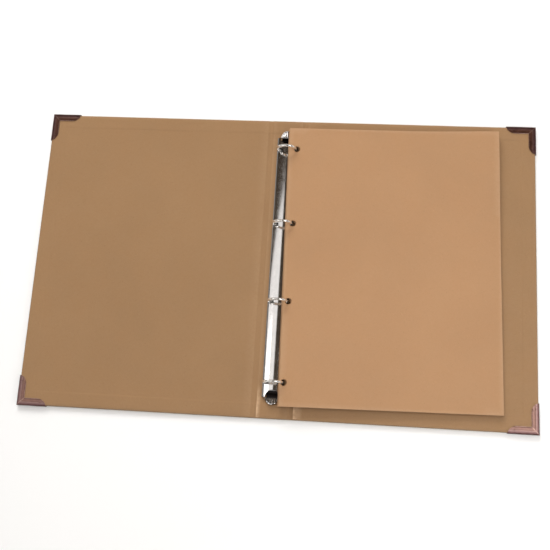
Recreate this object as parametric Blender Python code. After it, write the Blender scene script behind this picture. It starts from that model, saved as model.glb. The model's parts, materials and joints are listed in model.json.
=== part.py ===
"""Four-ring scrapbook album with kraft covers, lying open and flat. Metres, +Z up.

X runs across the open album (front cover at -X, back cover at +X), Y runs up along the spine,
and Z = 0 is the table. The sheets, boards and metal parts keep a small gap where they touch.
"""
import math

import bmesh
import bpy
from mathutils import Vector

MM = 0.001

# Gap between pieces that touch on the real album
GAP = 0.3 * MM

# Cover: three boards, wrapped outside and lined inside, with a flexible groove at each hinge line
COVER_HEIGHT = 310 * MM
COVER_WIDTH = 236 * MM
HINGE_X = 18 * MM
WRAP_BOTTOM = 0.8 * MM
PAPER_THICKNESS = 0.4 * MM
BOARD_THICKNESS = 2.0 * MM
TURN_IN_LIP = 2.5 * MM
BOARD_SETBACK = 3.8 * MM
GROOVE_TOP_SETBACK = 3.5 * MM
GROOVE_FLOOR_SETBACK = 2.4 * MM
LINING_SETBACK = 1.2 * MM
LINING_SHIFT = 0.2 * MM

# Corner protectors
CORNER_ARM = 30 * MM
CORNER_WIDTH = 7 * MM
CORNER_METAL = 0.5 * MM
CORNER_ARC_STEPS = 8
DIMPLE_RADIUS = 0.8 * MM
DIMPLE_DEPTH = 0.25 * MM
DIMPLE_FROM_EDGE = 3.3 * MM
DIMPLE_FROM_TIP = 6.5 * MM
DIMPLE_SIDES = 10

# Ring mechanism
RING_PITCH = 80 * MM
RING_COUNT = 4
RING_RADIUS = 9.3 * MM
RING_CENTRE_Z = 14.0 * MM
WIRE_RADIUS = 1.3 * MM
WIRE_BEVEL_RESOLUTION = 3
RING_ARC_END_DEG = -44
RING_ARC_STEPS = 14
RING_TAIL_X = 5.9 * MM
RING_TAIL_BOTTOM = 4.75 * MM
RING_TAIL_BENDS = ((6.2 * MM, 6.85 * MM), (5.96 * MM, 6.2 * MM))

HOUSING_HALF_WIDTH = 10.4 * MM
HOUSING_HALF_LENGTH = 134.5 * MM
HOUSING_FLANGE_TOP = 6.4 * MM
HOUSING_CROWN = 9.4 * MM
HOUSING_METAL = 0.8 * MM
HOUSING_ARCH_STEPS = 14
HOUSING_NOTCH_RADIUS = 7.2 * MM
HOUSING_NOTCH_SIDES = 40
WINDOW_INNER_X = 4.2 * MM
WINDOW_OUTER_X = 9.0 * MM
WINDOW_HALF_LENGTH = 1.9 * MM
WINDOW_BOTTOM = 5.9 * MM

BLADE_INNER_X = 0.2 * MM
BLADE_OUTER_X = 8.9 * MM
BLADE_HALF_LENGTH = 128 * MM
BLADE_BOTTOM = 4.9 * MM
BLADE_THICKNESS = 0.8 * MM
BLADE_HOLE_RADIUS = 1.65 * MM
BLADE_NOTCH_RADIUS = 2.5 * MM
SMALL_HOLE_SIDES = 16

LEVER_PIVOT_Y = 131.3 * MM
LEVER_PIVOT_Z = 5.6 * MM
LEVER_BARREL_RADIUS = 1.0 * MM
LEVER_BARREL_HALF = 7.2 * MM
LEVER_BARREL_SIDES = 14
LEVER_THICKNESS = 0.8 * MM
LEVER_TAB_RADIUS = 7.0 * MM
LEVER_TAB_CENTRE_Y = 134.7 * MM
LEVER_NECK_START_Y = 130.8 * MM
LEVER_NECK_HALF_WIDTH = 5.6 * MM
LEVER_TIP_TOP = 9.0 * MM
LEVER_ARC_STEPS = 18

RIVET_Y = 80 * MM
RIVET_SHANK_RADIUS = 1.9 * MM
RIVET_HEAD_RADIUS = 4.5 * MM
RIVET_HEAD_RIM = 0.2 * MM
RIVET_HOLE_RADIUS = 2.3 * MM
RIVET_STEPS = 24
RIVET_DOME_STEPS = 4

# Leaves: loose punched sheets, stacked from leaf 1 at the bottom to leaf 6 on top
LEAF_COUNT = 6
LEAF_WIDTH = 214 * MM
LEAF_HEIGHT = 286 * MM
LEAF_THICKNESS = 0.5 * MM
LEAF_PITCH = 0.8 * MM
LEAF_HOLE_RADIUS = 3.2 * MM
LEAF_HOLE_FROM_EDGE = 7.0 * MM
LEAF_SLOPE_RUN = 214 * MM

# Levels worked out from the dimensions above
WRAP_TOP = WRAP_BOTTOM + PAPER_THICKNESS
BOARD_BOTTOM = WRAP_TOP + GAP
BOARD_TOP = BOARD_BOTTOM + BOARD_THICKNESS
LINING_BOTTOM = BOARD_TOP + GAP
LINING_TOP = LINING_BOTTOM + PAPER_THICKNESS
GROOVE_LINING_BOTTOM = WRAP_TOP + GAP
GROOVE_LINING_TOP = GROOVE_LINING_BOTTOM + PAPER_THICKNESS
CORNER_FLANGE_BOTTOM = LINING_TOP + GAP
CORNER_TOP = CORNER_FLANGE_BOTTOM + CORNER_METAL
HINGE_Z = WRAP_BOTTOM + PAPER_THICKNESS / 2
COVER_EDGE_X = HINGE_X + COVER_WIDTH
COVER_EDGE_Y = COVER_HEIGHT / 2
CORNER_X = COVER_EDGE_X + GAP + CORNER_METAL
CORNER_Y = COVER_EDGE_Y + GAP + CORNER_METAL
HOUSING_BOTTOM = LINING_TOP + GAP
BLADE_TOP = BLADE_BOTTOM + BLADE_THICKNESS
LEAF_REST_Z = HOUSING_CROWN + GAP
LEAF_SLOPE = math.atan2(LEAF_REST_Z - LINING_TOP - GAP, LEAF_SLOPE_RUN)
RING_YS = [RING_PITCH * (RING_COUNT - 1) / 2 - RING_PITCH * index for index in range(RING_COUNT)]
THROUGH = 5 * MM


def clear_scene():
    for old in list(bpy.data.objects):
        bpy.data.objects.remove(old, do_unlink=True)


def make_material(name, colour, roughness, metallic=0.0):
    made = bpy.data.materials.new(name)
    made.use_nodes = True
    shader = made.node_tree.nodes["Principled BSDF"]
    shader.inputs["Base Color"].default_value = (*colour, 1.0)
    shader.inputs["Roughness"].default_value = roughness
    shader.inputs["Metallic"].default_value = metallic
    made.diffuse_color = (*colour, 1.0)
    return made


def link_object(name, data, pivot=None):
    """Adds an object whose geometry is in world coordinates, held by the empty on its joint's axis."""
    made = bpy.data.objects.new(name, data)
    bpy.context.collection.objects.link(made)
    if pivot is not None:
        made.parent = pivot
        made.location = -pivot.location
    return made


def make_pivot(name, location):
    pivot = bpy.data.objects.new(name, None)
    pivot.location = location
    pivot.empty_display_size = RING_RADIUS
    bpy.context.collection.objects.link(pivot)
    return pivot


def finish_mesh(bm, name):
    bmesh.ops.recalc_face_normals(bm, faces=bm.faces)
    mesh = bpy.data.meshes.new(name)
    bm.to_mesh(mesh)
    bm.free()
    return mesh


def box_mesh(name, corner_a, corner_b):
    """A box between two opposite corners, given in any order."""
    low = [min(pair) for pair in zip(corner_a, corner_b)]
    high = [max(pair) for pair in zip(corner_a, corner_b)]
    bm = bmesh.new()
    bmesh.ops.create_cube(bm, size=1.0)
    for vert in bm.verts:
        for axis in range(3):
            vert.co[axis] = high[axis] if vert.co[axis] > 0 else low[axis]
    return finish_mesh(bm, name)


def prism_mesh(name, outline, along):
    """Extrudes a closed loop of points by the vector along."""
    bm = bmesh.new()
    face = bm.faces.new([bm.verts.new(point) for point in outline])
    extruded = bmesh.ops.extrude_face_region(bm, geom=[face])
    moved = [item for item in extruded["geom"] if isinstance(item, bmesh.types.BMVert)]
    bmesh.ops.translate(bm, vec=along, verts=moved)
    return finish_mesh(bm, name)


def cylinder_outline(centre, radius, sides, axis_a, axis_b):
    points = []
    for index in range(sides):
        angle = 2 * math.pi * index / sides
        points.append(Vector(centre) + radius * (math.cos(angle) * axis_a + math.sin(angle) * axis_b))
    return points


def upright_cylinder(name, x, y, radius, low, high, sides):
    outline = cylinder_outline((x, y, low), radius, sides, Vector((1, 0, 0)), Vector((0, 1, 0)))
    return prism_mesh(name, outline, Vector((0, 0, high - low)))


def add_boolean(target, mesh, operation="DIFFERENCE"):
    """Cuts, joins or trims target with a hidden guide of the given mesh, in target's own space."""
    guide = bpy.data.objects.new(target.name + "_guide", mesh)
    bpy.context.collection.objects.link(guide)
    guide.parent = target
    guide.hide_render = True
    guide.display_type = "WIRE"
    modifier = target.modifiers.new("shape", "BOOLEAN")
    modifier.operation = operation
    modifier.solver = "EXACT"
    modifier.object = guide


def finish_piece(piece, material, smooth_angle_deg=None):
    piece.data.materials.append(material)
    if smooth_angle_deg is not None:
        piece.data.shade_smooth()
        piece.data.set_sharp_from_angle(angle=math.radians(smooth_angle_deg))
    return piece


def rivet_holes(piece):
    for y in (RIVET_Y, -RIVET_Y):
        hole = upright_cylinder("rivet_hole", 0, y, RIVET_HOLE_RADIUS, -THROUGH, HOUSING_CROWN, SMALL_HOLE_SIDES)
        add_boolean(piece, hole)


def cover_board(name, side, pivot):
    """Greyboard of one cover, from beside its hinge groove to inside the wrap's outer fold."""
    inset = PAPER_THICKNESS + GAP
    near = (side * (HINGE_X + BOARD_SETBACK), inset - COVER_EDGE_Y, BOARD_BOTTOM)
    far = (side * (COVER_EDGE_X - inset), COVER_EDGE_Y - inset, BOARD_TOP)
    return link_object(name, box_mesh(name, near, far), pivot)


def cover_wrap(name, side, pivot):
    """Outer paper of one cover: a sheet whose three free edges fold up and over the board."""
    start = HINGE_X + GAP
    beyond = HINGE_X - THROUGH
    board_start = HINGE_X + GROOVE_TOP_SETBACK
    wrap = link_object(name, box_mesh(name, (side * start, -COVER_EDGE_Y, WRAP_BOTTOM),
                                      (side * COVER_EDGE_X, COVER_EDGE_Y, LINING_TOP)), pivot)
    wall_x = COVER_EDGE_X - PAPER_THICKNESS
    wall_y = COVER_EDGE_Y - PAPER_THICKNESS
    add_boolean(wrap, box_mesh("board_space", (side * beyond, -wall_y, WRAP_TOP),
                               (side * wall_x, wall_y, LINING_BOTTOM)))
    add_boolean(wrap, box_mesh("groove_space", (side * beyond, -COVER_HEIGHT, WRAP_TOP),
                               (side * board_start, COVER_HEIGHT, LINING_TOP + THROUGH)))
    lip_x = COVER_EDGE_X - TURN_IN_LIP
    lip_y = COVER_EDGE_Y - TURN_IN_LIP
    add_boolean(wrap, box_mesh("lining_window", (side * beyond, -lip_y, BOARD_TOP),
                               (side * lip_x, lip_y, LINING_TOP + THROUGH)))
    return wrap


def spine_wrap_piece(name):
    """Outer paper of the spine, folded over the spine board at its two ends."""
    end_x = HINGE_X - GAP
    beyond = HINGE_X + THROUGH
    board_end = HINGE_X - GROOVE_TOP_SETBACK
    wrap = link_object(name, box_mesh(name, (-end_x, -COVER_EDGE_Y, WRAP_BOTTOM),
                                      (end_x, COVER_EDGE_Y, LINING_TOP)))
    wall_y = COVER_EDGE_Y - PAPER_THICKNESS
    add_boolean(wrap, box_mesh("board_space", (-beyond, -wall_y, WRAP_TOP), (beyond, wall_y, LINING_BOTTOM)))
    for side in (-1, 1):
        add_boolean(wrap, box_mesh("groove_space", (side * board_end, -COVER_HEIGHT, WRAP_TOP),
                                   (side * beyond, COVER_HEIGHT, LINING_TOP + THROUGH)))
    lip_y = COVER_EDGE_Y - TURN_IN_LIP
    add_boolean(wrap, box_mesh("lining_window", (-beyond, -lip_y, BOARD_TOP), (beyond, lip_y, LINING_TOP + THROUGH)))
    rivet_holes(wrap)
    return wrap


def groove_profile(toward_hinge):
    """Lower and upper lines of a lining that dips into the groove, from the hinge line to the board's top.

    toward_hinge maps a setback from the hinge line to an X position.
    """
    lower = [(toward_hinge(LINING_SETBACK), GROOVE_LINING_BOTTOM),
             (toward_hinge(GROOVE_FLOOR_SETBACK), GROOVE_LINING_BOTTOM),
             (toward_hinge(GROOVE_TOP_SETBACK), LINING_BOTTOM)]
    upper = [(toward_hinge(LINING_SETBACK), GROOVE_LINING_TOP),
             (toward_hinge(GROOVE_FLOOR_SETBACK - LINING_SHIFT), GROOVE_LINING_TOP),
             (toward_hinge(GROOVE_TOP_SETBACK - LINING_SHIFT), LINING_TOP)]
    return lower, upper


def lining_mesh(name, section):
    half = COVER_EDGE_Y - TURN_IN_LIP - GAP
    outline = [Vector((x, -half, z)) for x, z in section]
    return prism_mesh(name, outline, Vector((0, 2 * half, 0)))


def cover_lining(name, side, pivot):
    """Paper pasted inside one cover, level with the wrap's turned-in edge."""
    lower, upper = groove_profile(lambda setback: side * (HINGE_X + setback))
    end_x = side * (COVER_EDGE_X - TURN_IN_LIP - GAP)
    section = lower + [(end_x, LINING_BOTTOM), (end_x, LINING_TOP)] + upper[::-1]
    return link_object(name, lining_mesh(name, section), pivot)


def spine_lining_piece(name):
    lower, upper = groove_profile(lambda setback: HINGE_X - setback)
    mirrored_lower = [(-x, z) for x, z in lower]
    mirrored_upper = [(-x, z) for x, z in upper]
    section = lower + mirrored_lower[::-1] + mirrored_upper + upper[::-1]
    lining = link_object(name, lining_mesh(name, section))
    rivet_holes(lining)
    return lining


def corner_protector(name, side_x, side_y, pivot):
    """Pressed metal corner: an L of U-shaped section whose two arms end in a quarter round."""
    outline = [(0, 0)]
    tip = CORNER_ARM - CORNER_WIDTH
    for index in range(CORNER_ARC_STEPS + 1):
        angle = math.pi / 2 * index / CORNER_ARC_STEPS
        outline.append((CORNER_WIDTH * math.sin(angle), tip + CORNER_WIDTH * math.cos(angle)))
    outline.append((CORNER_WIDTH, CORNER_WIDTH))
    for index in range(CORNER_ARC_STEPS + 1):
        angle = math.pi / 2 * index / CORNER_ARC_STEPS
        outline.append((tip + CORNER_WIDTH * math.sin(angle), CORNER_WIDTH * math.cos(angle)))
    points = [Vector((side_x * (CORNER_X - x), side_y * (CORNER_Y - y), 0)) for x, y in outline]
    corner = link_object(name, prism_mesh(name, points, Vector((0, 0, CORNER_TOP))), pivot)
    inner_x = side_x * (CORNER_X - CORNER_METAL)
    inner_y = side_y * (CORNER_Y - CORNER_METAL)
    far_x = side_x * (CORNER_X - 2 * CORNER_ARM)
    far_y = side_y * (CORNER_Y - 2 * CORNER_ARM)
    add_boolean(corner, box_mesh("cover_space", (inner_x, inner_y, CORNER_METAL),
                                 (far_x, far_y, CORNER_FLANGE_BOTTOM)))
    along = CORNER_ARM - DIMPLE_FROM_TIP
    for x, y in ((DIMPLE_FROM_EDGE, along), (along, DIMPLE_FROM_EDGE)):
        pit = upright_cylinder("dimple", side_x * (CORNER_X - x), side_y * (CORNER_Y - y), DIMPLE_RADIUS,
                               CORNER_TOP - DIMPLE_DEPTH, CORNER_TOP + THROUGH, DIMPLE_SIDES)
        add_boolean(corner, pit)
    return corner


def arch_height(x, half_width, crown):
    drop = HOUSING_CROWN - HOUSING_FLANGE_TOP
    return crown - drop * (x / half_width) ** 2


def housing_piece(name):
    """Arched spring cover of the ring mechanism, open underneath, with a window for each ring wire."""
    inner_half = HOUSING_HALF_WIDTH - HOUSING_METAL
    outer = [(-HOUSING_HALF_WIDTH, HOUSING_BOTTOM)]
    inner = [(-inner_half, HOUSING_BOTTOM)]
    for index in range(HOUSING_ARCH_STEPS + 1):
        share = 2 * index / HOUSING_ARCH_STEPS - 1
        outer_x = share * HOUSING_HALF_WIDTH
        inner_x = share * inner_half
        outer.append((outer_x, arch_height(outer_x, HOUSING_HALF_WIDTH, HOUSING_CROWN)))
        inner.append((inner_x, arch_height(inner_x, inner_half, HOUSING_CROWN - HOUSING_METAL)))
    outer.append((HOUSING_HALF_WIDTH, HOUSING_BOTTOM))
    inner.append((inner_half, HOUSING_BOTTOM))
    section = [Vector((x, -HOUSING_HALF_LENGTH, z)) for x, z in outer + inner[::-1]]
    housing = link_object(name, prism_mesh(name, section, Vector((0, 2 * HOUSING_HALF_LENGTH, 0))))
    for y in RING_YS:
        for side in (-1, 1):
            add_boolean(housing, box_mesh("ring_window",
                                          (side * WINDOW_INNER_X, y - WINDOW_HALF_LENGTH, WINDOW_BOTTOM),
                                          (side * WINDOW_OUTER_X, y + WINDOW_HALF_LENGTH, HOUSING_CROWN + THROUGH)))
    for y in (HOUSING_HALF_LENGTH, -HOUSING_HALF_LENGTH):
        add_boolean(housing, upright_cylinder("end_notch", 0, y, HOUSING_NOTCH_RADIUS, 0,
                                              HOUSING_CROWN + THROUGH, HOUSING_NOTCH_SIDES))
    return housing


def ring_blade(name, side, pivot):
    """Flat carrier strip under the housing that holds one half of every ring."""
    blade = link_object(name, box_mesh(name, (side * BLADE_INNER_X, -BLADE_HALF_LENGTH, BLADE_BOTTOM),
                                       (side * BLADE_OUTER_X, BLADE_HALF_LENGTH, BLADE_TOP)), pivot)
    for y in RING_YS:
        add_boolean(blade, upright_cylinder("ring_hole", side * RING_TAIL_X, y, BLADE_HOLE_RADIUS,
                                            0, HOUSING_CROWN, SMALL_HOLE_SIDES))
    for y in (RIVET_Y, -RIVET_Y):
        add_boolean(blade, upright_cylinder("rivet_notch", 0, y, BLADE_NOTCH_RADIUS,
                                            0, HOUSING_CROWN, SMALL_HOLE_SIDES))
    return blade


def half_ring(name, side, y, pivot):
    """One half of a ring: a bent wire from the tip at the top, round the side and down into its blade."""
    first = math.acos(GAP / 2 / RING_RADIUS)
    last = math.radians(RING_ARC_END_DEG)
    route = []
    for index in range(RING_ARC_STEPS + 1):
        angle = first + (last - first) * index / RING_ARC_STEPS
        route.append((RING_RADIUS * math.cos(angle), RING_CENTRE_Z + RING_RADIUS * math.sin(angle)))
    route.extend(RING_TAIL_BENDS)
    route.append((RING_TAIL_X, RING_TAIL_BOTTOM))
    curve = bpy.data.curves.new(name, "CURVE")
    curve.dimensions = "3D"
    curve.bevel_depth = WIRE_RADIUS
    curve.bevel_resolution = WIRE_BEVEL_RESOLUTION
    curve.use_fill_caps = True
    spline = curve.splines.new("POLY")
    spline.points.add(len(route) - 1)
    for point, (x, z) in zip(spline.points, route):
        point.co = (side * x, y, z, 1.0)
    return link_object(name, curve, pivot)


def lever_piece(name, end, pivot):
    """Thumb lever at one end: a barrel across the housing, a low neck and a rounded, rising tab."""
    neck = [(LEVER_NECK_HALF_WIDTH, LEVER_TAB_CENTRE_Y), (LEVER_NECK_HALF_WIDTH, LEVER_NECK_START_Y),
            (-LEVER_NECK_HALF_WIDTH, LEVER_NECK_START_Y), (-LEVER_NECK_HALF_WIDTH, LEVER_TAB_CENTRE_Y)]
    tab = []
    for index in range(LEVER_ARC_STEPS + 1):
        angle = math.pi * (1 - index / LEVER_ARC_STEPS)
        tab.append((LEVER_TAB_RADIUS * math.cos(angle), LEVER_TAB_CENTRE_Y + LEVER_TAB_RADIUS * math.sin(angle)))
    plan = [Vector((x, end * y, 0)) for x, y in neck + tab]
    lever = link_object(name, prism_mesh(name, plan, Vector((0, 0, 2 * HOUSING_CROWN))), pivot)
    low = LEVER_PIVOT_Z - LEVER_THICKNESS / 2
    tip_y = LEVER_TAB_CENTRE_Y + LEVER_TAB_RADIUS + THROUGH
    tip_low = LEVER_TIP_TOP - LEVER_THICKNESS
    rise = (tip_low - low) / LEVER_TAB_RADIUS * THROUGH
    side_view = [(LEVER_NECK_START_Y - THROUGH, low), (LEVER_TAB_CENTRE_Y, low), (tip_y, tip_low + rise)]
    upper = [(y, z + LEVER_THICKNESS) for y, z in side_view[::-1]]
    section = [Vector((-HOUSING_HALF_WIDTH, end * y, z)) for y, z in side_view + upper]
    add_boolean(lever, prism_mesh("lever_section", section, Vector((2 * HOUSING_HALF_WIDTH, 0, 0))), "INTERSECT")
    barrel = cylinder_outline((-LEVER_BARREL_HALF, end * LEVER_PIVOT_Y, LEVER_PIVOT_Z), LEVER_BARREL_RADIUS,
                              LEVER_BARREL_SIDES, Vector((0, 1, 0)), Vector((0, 0, 1)))
    add_boolean(lever, prism_mesh("lever_barrel", barrel, Vector((2 * LEVER_BARREL_HALF, 0, 0))), "UNION")
    return lever


def spine_rivet(name, y):
    """Domed rivet from outside the spine up to under the housing's crown, turned about its own axis."""
    head_top = WRAP_BOTTOM - GAP
    shank_top = HOUSING_CROWN - HOUSING_METAL - GAP
    profile = [(0, shank_top), (RIVET_SHANK_RADIUS, shank_top), (RIVET_SHANK_RADIUS, head_top),
               (RIVET_HEAD_RADIUS, head_top)]
    for index in range(RIVET_DOME_STEPS):
        angle = math.pi / 2 * index / RIVET_DOME_STEPS
        profile.append((RIVET_HEAD_RADIUS * math.cos(angle), RIVET_HEAD_RIM * (1 - math.sin(angle))))
    profile.append((0, 0))
    bm = bmesh.new()
    rings = []
    for radius, z in profile:
        if radius == 0:
            rings.append([bm.verts.new((0, y, z))])
            continue
        outline = cylinder_outline((0, y, z), radius, RIVET_STEPS, Vector((1, 0, 0)), Vector((0, 1, 0)))
        rings.append([bm.verts.new(point) for point in outline])
    for above, below in zip(rings, rings[1:]):
        for index in range(RIVET_STEPS):
            following = (index + 1) % RIVET_STEPS
            corners = [above[index % len(above)], above[following % len(above)],
                       below[following % len(below)], below[index % len(below)]]
            bm.faces.new(list(dict.fromkeys(corners)))
    return link_object(name, finish_mesh(bm, name))


def leaf_hole_x(level):
    """Hole centre for a leaf at this height: the wire passes just inside the hole's spine-side edge."""
    below = RING_CENTRE_Z - level
    wire_x = math.sqrt(RING_RADIUS ** 2 - below ** 2)
    lean = below / wire_x
    wire_reach = WIRE_RADIUS * math.sqrt(1 + lean ** 2) + LEAF_THICKNESS / 2 * lean
    return wire_x - wire_reach - GAP + LEAF_HOLE_RADIUS


def leaf_piece(name, index, pivot):
    """A punched sheet that slopes from over the housing down onto the back cover."""
    spine_edge_level = LEAF_REST_Z + LEAF_PITCH * index
    wire_level = spine_edge_level + LEAF_THICKNESS / 2 - LEAF_HOLE_FROM_EDGE * math.sin(LEAF_SLOPE)
    edge_x = leaf_hole_x(wire_level) - LEAF_HOLE_FROM_EDGE
    sheet = box_mesh(name, (0, -LEAF_HEIGHT / 2, 0), (LEAF_WIDTH, LEAF_HEIGHT / 2, LEAF_THICKNESS))
    leaf = link_object(name, sheet, pivot)
    leaf.location = Vector((edge_x, 0, spine_edge_level)) - pivot.location
    leaf.rotation_euler = (0, LEAF_SLOPE, 0)
    for y in RING_YS:
        add_boolean(leaf, upright_cylinder("punched_hole", LEAF_HOLE_FROM_EDGE, y, LEAF_HOLE_RADIUS,
                                           -THROUGH, THROUGH, SMALL_HOLE_SIDES))
    return leaf


def build_cover(label, side, kraft_outer, kraft_lining, greyboard, bronze):
    pivot = make_pivot(label + "_hinge_axis", (side * HINGE_X, 0, HINGE_Z))
    finish_piece(cover_board(label + "_board", side, pivot), greyboard)
    finish_piece(cover_wrap(label + "_wrap", side, pivot), kraft_outer)
    finish_piece(cover_lining(label + "_lining", side, pivot), kraft_lining)
    for end, side_y in (("top", 1), ("bottom", -1)):
        name = label + "_corner_" + end
        finish_piece(corner_protector(name, side, side_y, pivot), bronze)


def build_spine(kraft_outer, kraft_lining, greyboard):
    board_half = HINGE_X - BOARD_SETBACK
    board_y = COVER_EDGE_Y - PAPER_THICKNESS - GAP
    board = link_object("spine_board", box_mesh("spine_board", (-board_half, -board_y, BOARD_BOTTOM),
                                                (board_half, board_y, BOARD_TOP)))
    rivet_holes(board)
    finish_piece(board, greyboard)
    finish_piece(spine_wrap_piece("spine_wrap"), kraft_outer)
    finish_piece(spine_lining_piece("spine_lining"), kraft_lining)


def build_mechanism(chrome, steel, nickel):
    finish_piece(housing_piece("ring_housing"), chrome, 30)
    for label, side in (("left", -1), ("right", 1)):
        pivot = make_pivot("blade_axis_" + label, (side * BLADE_OUTER_X, 0, (BLADE_BOTTOM + BLADE_TOP) / 2))
        finish_piece(ring_blade("ring_blade_" + label, side, pivot), steel)
        for number, y in enumerate(RING_YS, start=1):
            finish_piece(half_ring("half_ring_" + label + "_" + str(number), side, y, pivot), chrome)
    for label, end in (("top", 1), ("bottom", -1)):
        pivot = make_pivot("lever_axis_" + label, (0, end * LEVER_PIVOT_Y, LEVER_PIVOT_Z))
        finish_piece(lever_piece("lever_" + label, end, pivot), chrome, 30)
        finish_piece(spine_rivet("spine_rivet_" + label, end * RIVET_Y), nickel, 30)


def build_leaves(kraft_leaf):
    pivot = make_pivot("ring_axis", (0, 0, RING_CENTRE_Z))
    for index in range(LEAF_COUNT):
        finish_piece(leaf_piece("leaf_" + str(index + 1), index, pivot), kraft_leaf)


def build():
    clear_scene()
    kraft_outer = make_material("kraft_wrap", (0.33, 0.21, 0.12), 0.8)
    kraft_lining = make_material("kraft_lining", (0.36, 0.23, 0.13), 0.85)
    kraft_leaf = make_material("kraft_leaf", (0.49, 0.29, 0.15), 0.8)
    greyboard = make_material("greyboard", (0.30, 0.27, 0.23), 0.9)
    bronze = make_material("corner_bronze", (0.12, 0.055, 0.045), 0.4, 0.9)
    chrome = make_material("ring_chrome", (0.80, 0.79, 0.77), 0.12, 1.0)
    steel = make_material("blade_steel", (0.55, 0.55, 0.55), 0.3, 1.0)
    nickel = make_material("rivet_nickel", (0.60, 0.57, 0.52), 0.25, 1.0)
    build_cover("front_cover", -1, kraft_outer, kraft_lining, greyboard, bronze)
    build_cover("back_cover", 1, kraft_outer, kraft_lining, greyboard, bronze)
    build_spine(kraft_outer, kraft_lining, greyboard)
    build_mechanism(chrome, steel, nickel)
    build_leaves(kraft_leaf)


build()
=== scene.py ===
import json
import math

import bpy
import numpy as np
from mathutils import Matrix, Vector
from mathutils.geometry import delaunay_2d_cdt


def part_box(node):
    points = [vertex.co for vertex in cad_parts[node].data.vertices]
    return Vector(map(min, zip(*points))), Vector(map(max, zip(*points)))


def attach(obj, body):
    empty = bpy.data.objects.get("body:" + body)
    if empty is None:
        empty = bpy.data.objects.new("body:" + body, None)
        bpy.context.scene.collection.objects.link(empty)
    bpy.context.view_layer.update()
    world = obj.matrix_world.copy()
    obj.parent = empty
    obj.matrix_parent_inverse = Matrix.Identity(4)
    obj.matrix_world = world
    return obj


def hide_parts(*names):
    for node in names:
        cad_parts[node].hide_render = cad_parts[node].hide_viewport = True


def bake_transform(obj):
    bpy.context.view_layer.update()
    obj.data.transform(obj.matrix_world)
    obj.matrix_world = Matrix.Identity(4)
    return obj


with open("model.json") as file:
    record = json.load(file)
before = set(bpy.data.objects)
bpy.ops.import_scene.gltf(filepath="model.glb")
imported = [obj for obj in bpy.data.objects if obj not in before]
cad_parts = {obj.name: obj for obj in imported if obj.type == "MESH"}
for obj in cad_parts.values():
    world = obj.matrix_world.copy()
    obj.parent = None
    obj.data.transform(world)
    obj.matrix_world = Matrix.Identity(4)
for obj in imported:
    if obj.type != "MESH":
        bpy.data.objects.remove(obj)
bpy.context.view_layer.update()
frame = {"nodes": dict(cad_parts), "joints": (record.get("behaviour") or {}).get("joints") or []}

MM = 0.001

# Places read from the frame
WRAP_LOW, WRAP_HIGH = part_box("back_cover_wrap")
LINING_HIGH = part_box("back_cover_lining")[1]
CORNER_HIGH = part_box("back_cover_corner_top")[1]
HOUSING_LOW, HOUSING_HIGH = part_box("ring_housing")
RIVET_LOW, RIVET_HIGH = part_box("spine_rivet_top")
JOINTS = {joint["name"]: joint for joint in frame["joints"]}
HINGE_X = JOINTS["back_cover_hinge"]["pos_m"][0]
RING_AXIS_Z = JOINTS["page_block_swing"]["pos_m"][2]
EDGE_X = WRAP_HIGH.x
EDGE_Y = WRAP_HIGH.y
BOTTOM_Z = WRAP_LOW.z
TOP_Z = LINING_HIGH.z
CORNER_X = CORNER_HIGH.x
CORNER_Y = CORNER_HIGH.y
CORNER_TOP = CORNER_HIGH.z
RING_COUNT = 4
RING_YS = [(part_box(f"half_ring_left_{n}")[0].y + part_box(f"half_ring_left_{n}")[1].y) / 2
           for n in range(1, RING_COUNT + 1)]

# Cover papers
PAPER = 0.4 * MM
LINING_PAPER = 0.3 * MM
LINING_MARGIN = 1.0 * MM
TURN_IN = 14.0 * MM
TURN_IN_STEP = 0.22 * MM
EDGE_ROUND = 1.3 * MM
GROOVE_HALF = 3.5 * MM
GROOVE_DEPTH = 0.6 * MM
OUTER_GROOVE_DEPTH = 0.45 * MM

# Corner protectors
ARM = 30.0 * MM
ARM_WIDTH = 7.7 * MM
ARM_END = 9.5 * MM
METAL = 0.5 * MM
DIMPLE_FROM_TIP = 5.8 * MM
DIMPLE_FROM_EDGE = 4.1 * MM
DIMPLE_RADIUS = 0.9 * MM
DIMPLE_DEPTH = 0.30 * MM
MITRE_RISE = 0.06 * MM

# Ring mechanism
WIRE_RADIUS = 1.3 * MM
RING_RADIUS = 9.3 * MM
RING_END_DEG = -44
RING_TAIL = ((6.2 * MM, 6.85 * MM), (5.96 * MM, 6.2 * MM), (5.9 * MM, 5.4 * MM), (5.9 * MM, 4.75 * MM))
HOUSING_METAL = 0.7 * MM
HOUSING_SHOULDER = 0.7 * MM
ARCH_DROP = 3.0 * MM
NOTCH_RADIUS = 7.2 * MM
WINDOW_INNER = 4.2 * MM
WINDOW_OUTER = 9.0 * MM
WINDOW_HALF = 1.9 * MM
LEVER_METAL = 0.8 * MM
LEVER_NECK_HALF = 5.6 * MM
LEVER_NECK_BACK = 0.5 * MM
LEVER_TAB_AT = 3.4 * MM
LEVER_TAB_RADIUS = 7.0 * MM
LEVER_TIP_RISE = 3.0 * MM
RIB_PITCH = 2.1 * MM
RIB_HEIGHT = 0.42 * MM
BARREL_RADIUS = 1.0 * MM
BARREL_HALF = 7.1 * MM
RIVET_SHANK = 1.9 * MM
RIVET_HEAD_THICKNESS = 0.5 * MM
RIVET_DOME = 0.34 * MM
SHADE_PLATE_INSET_X = 1.2 * MM
SHADE_PLATE_INSET_Y = 1.8 * MM
SHADE_PLATE_CLEARANCE = 0.24 * MM
SHADE_PLATE_THICKNESS = 0.2 * MM

# Leaves
LEAF_WIDTH = 213.4 * MM
LEAF_HEIGHT = 286.0 * MM
LEAF_PAPER = 0.42 * MM
LEAF_COUNT = 6
LEAF_TURN_DEG = 0.95
LEAF_SHIFT = 1.05 * MM
LEAF_HOLE_RADIUS = 3.2 * MM
LEAF_HOLE_IN = 7.0 * MM
LEAF_SINK = 0.9 * MM
TOP_LEAF_LIFT = 3.5 * MM
LEAF_MESH_STEP = 5.5 * MM


# ---------------------------------------------------------------- mesh tools

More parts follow.
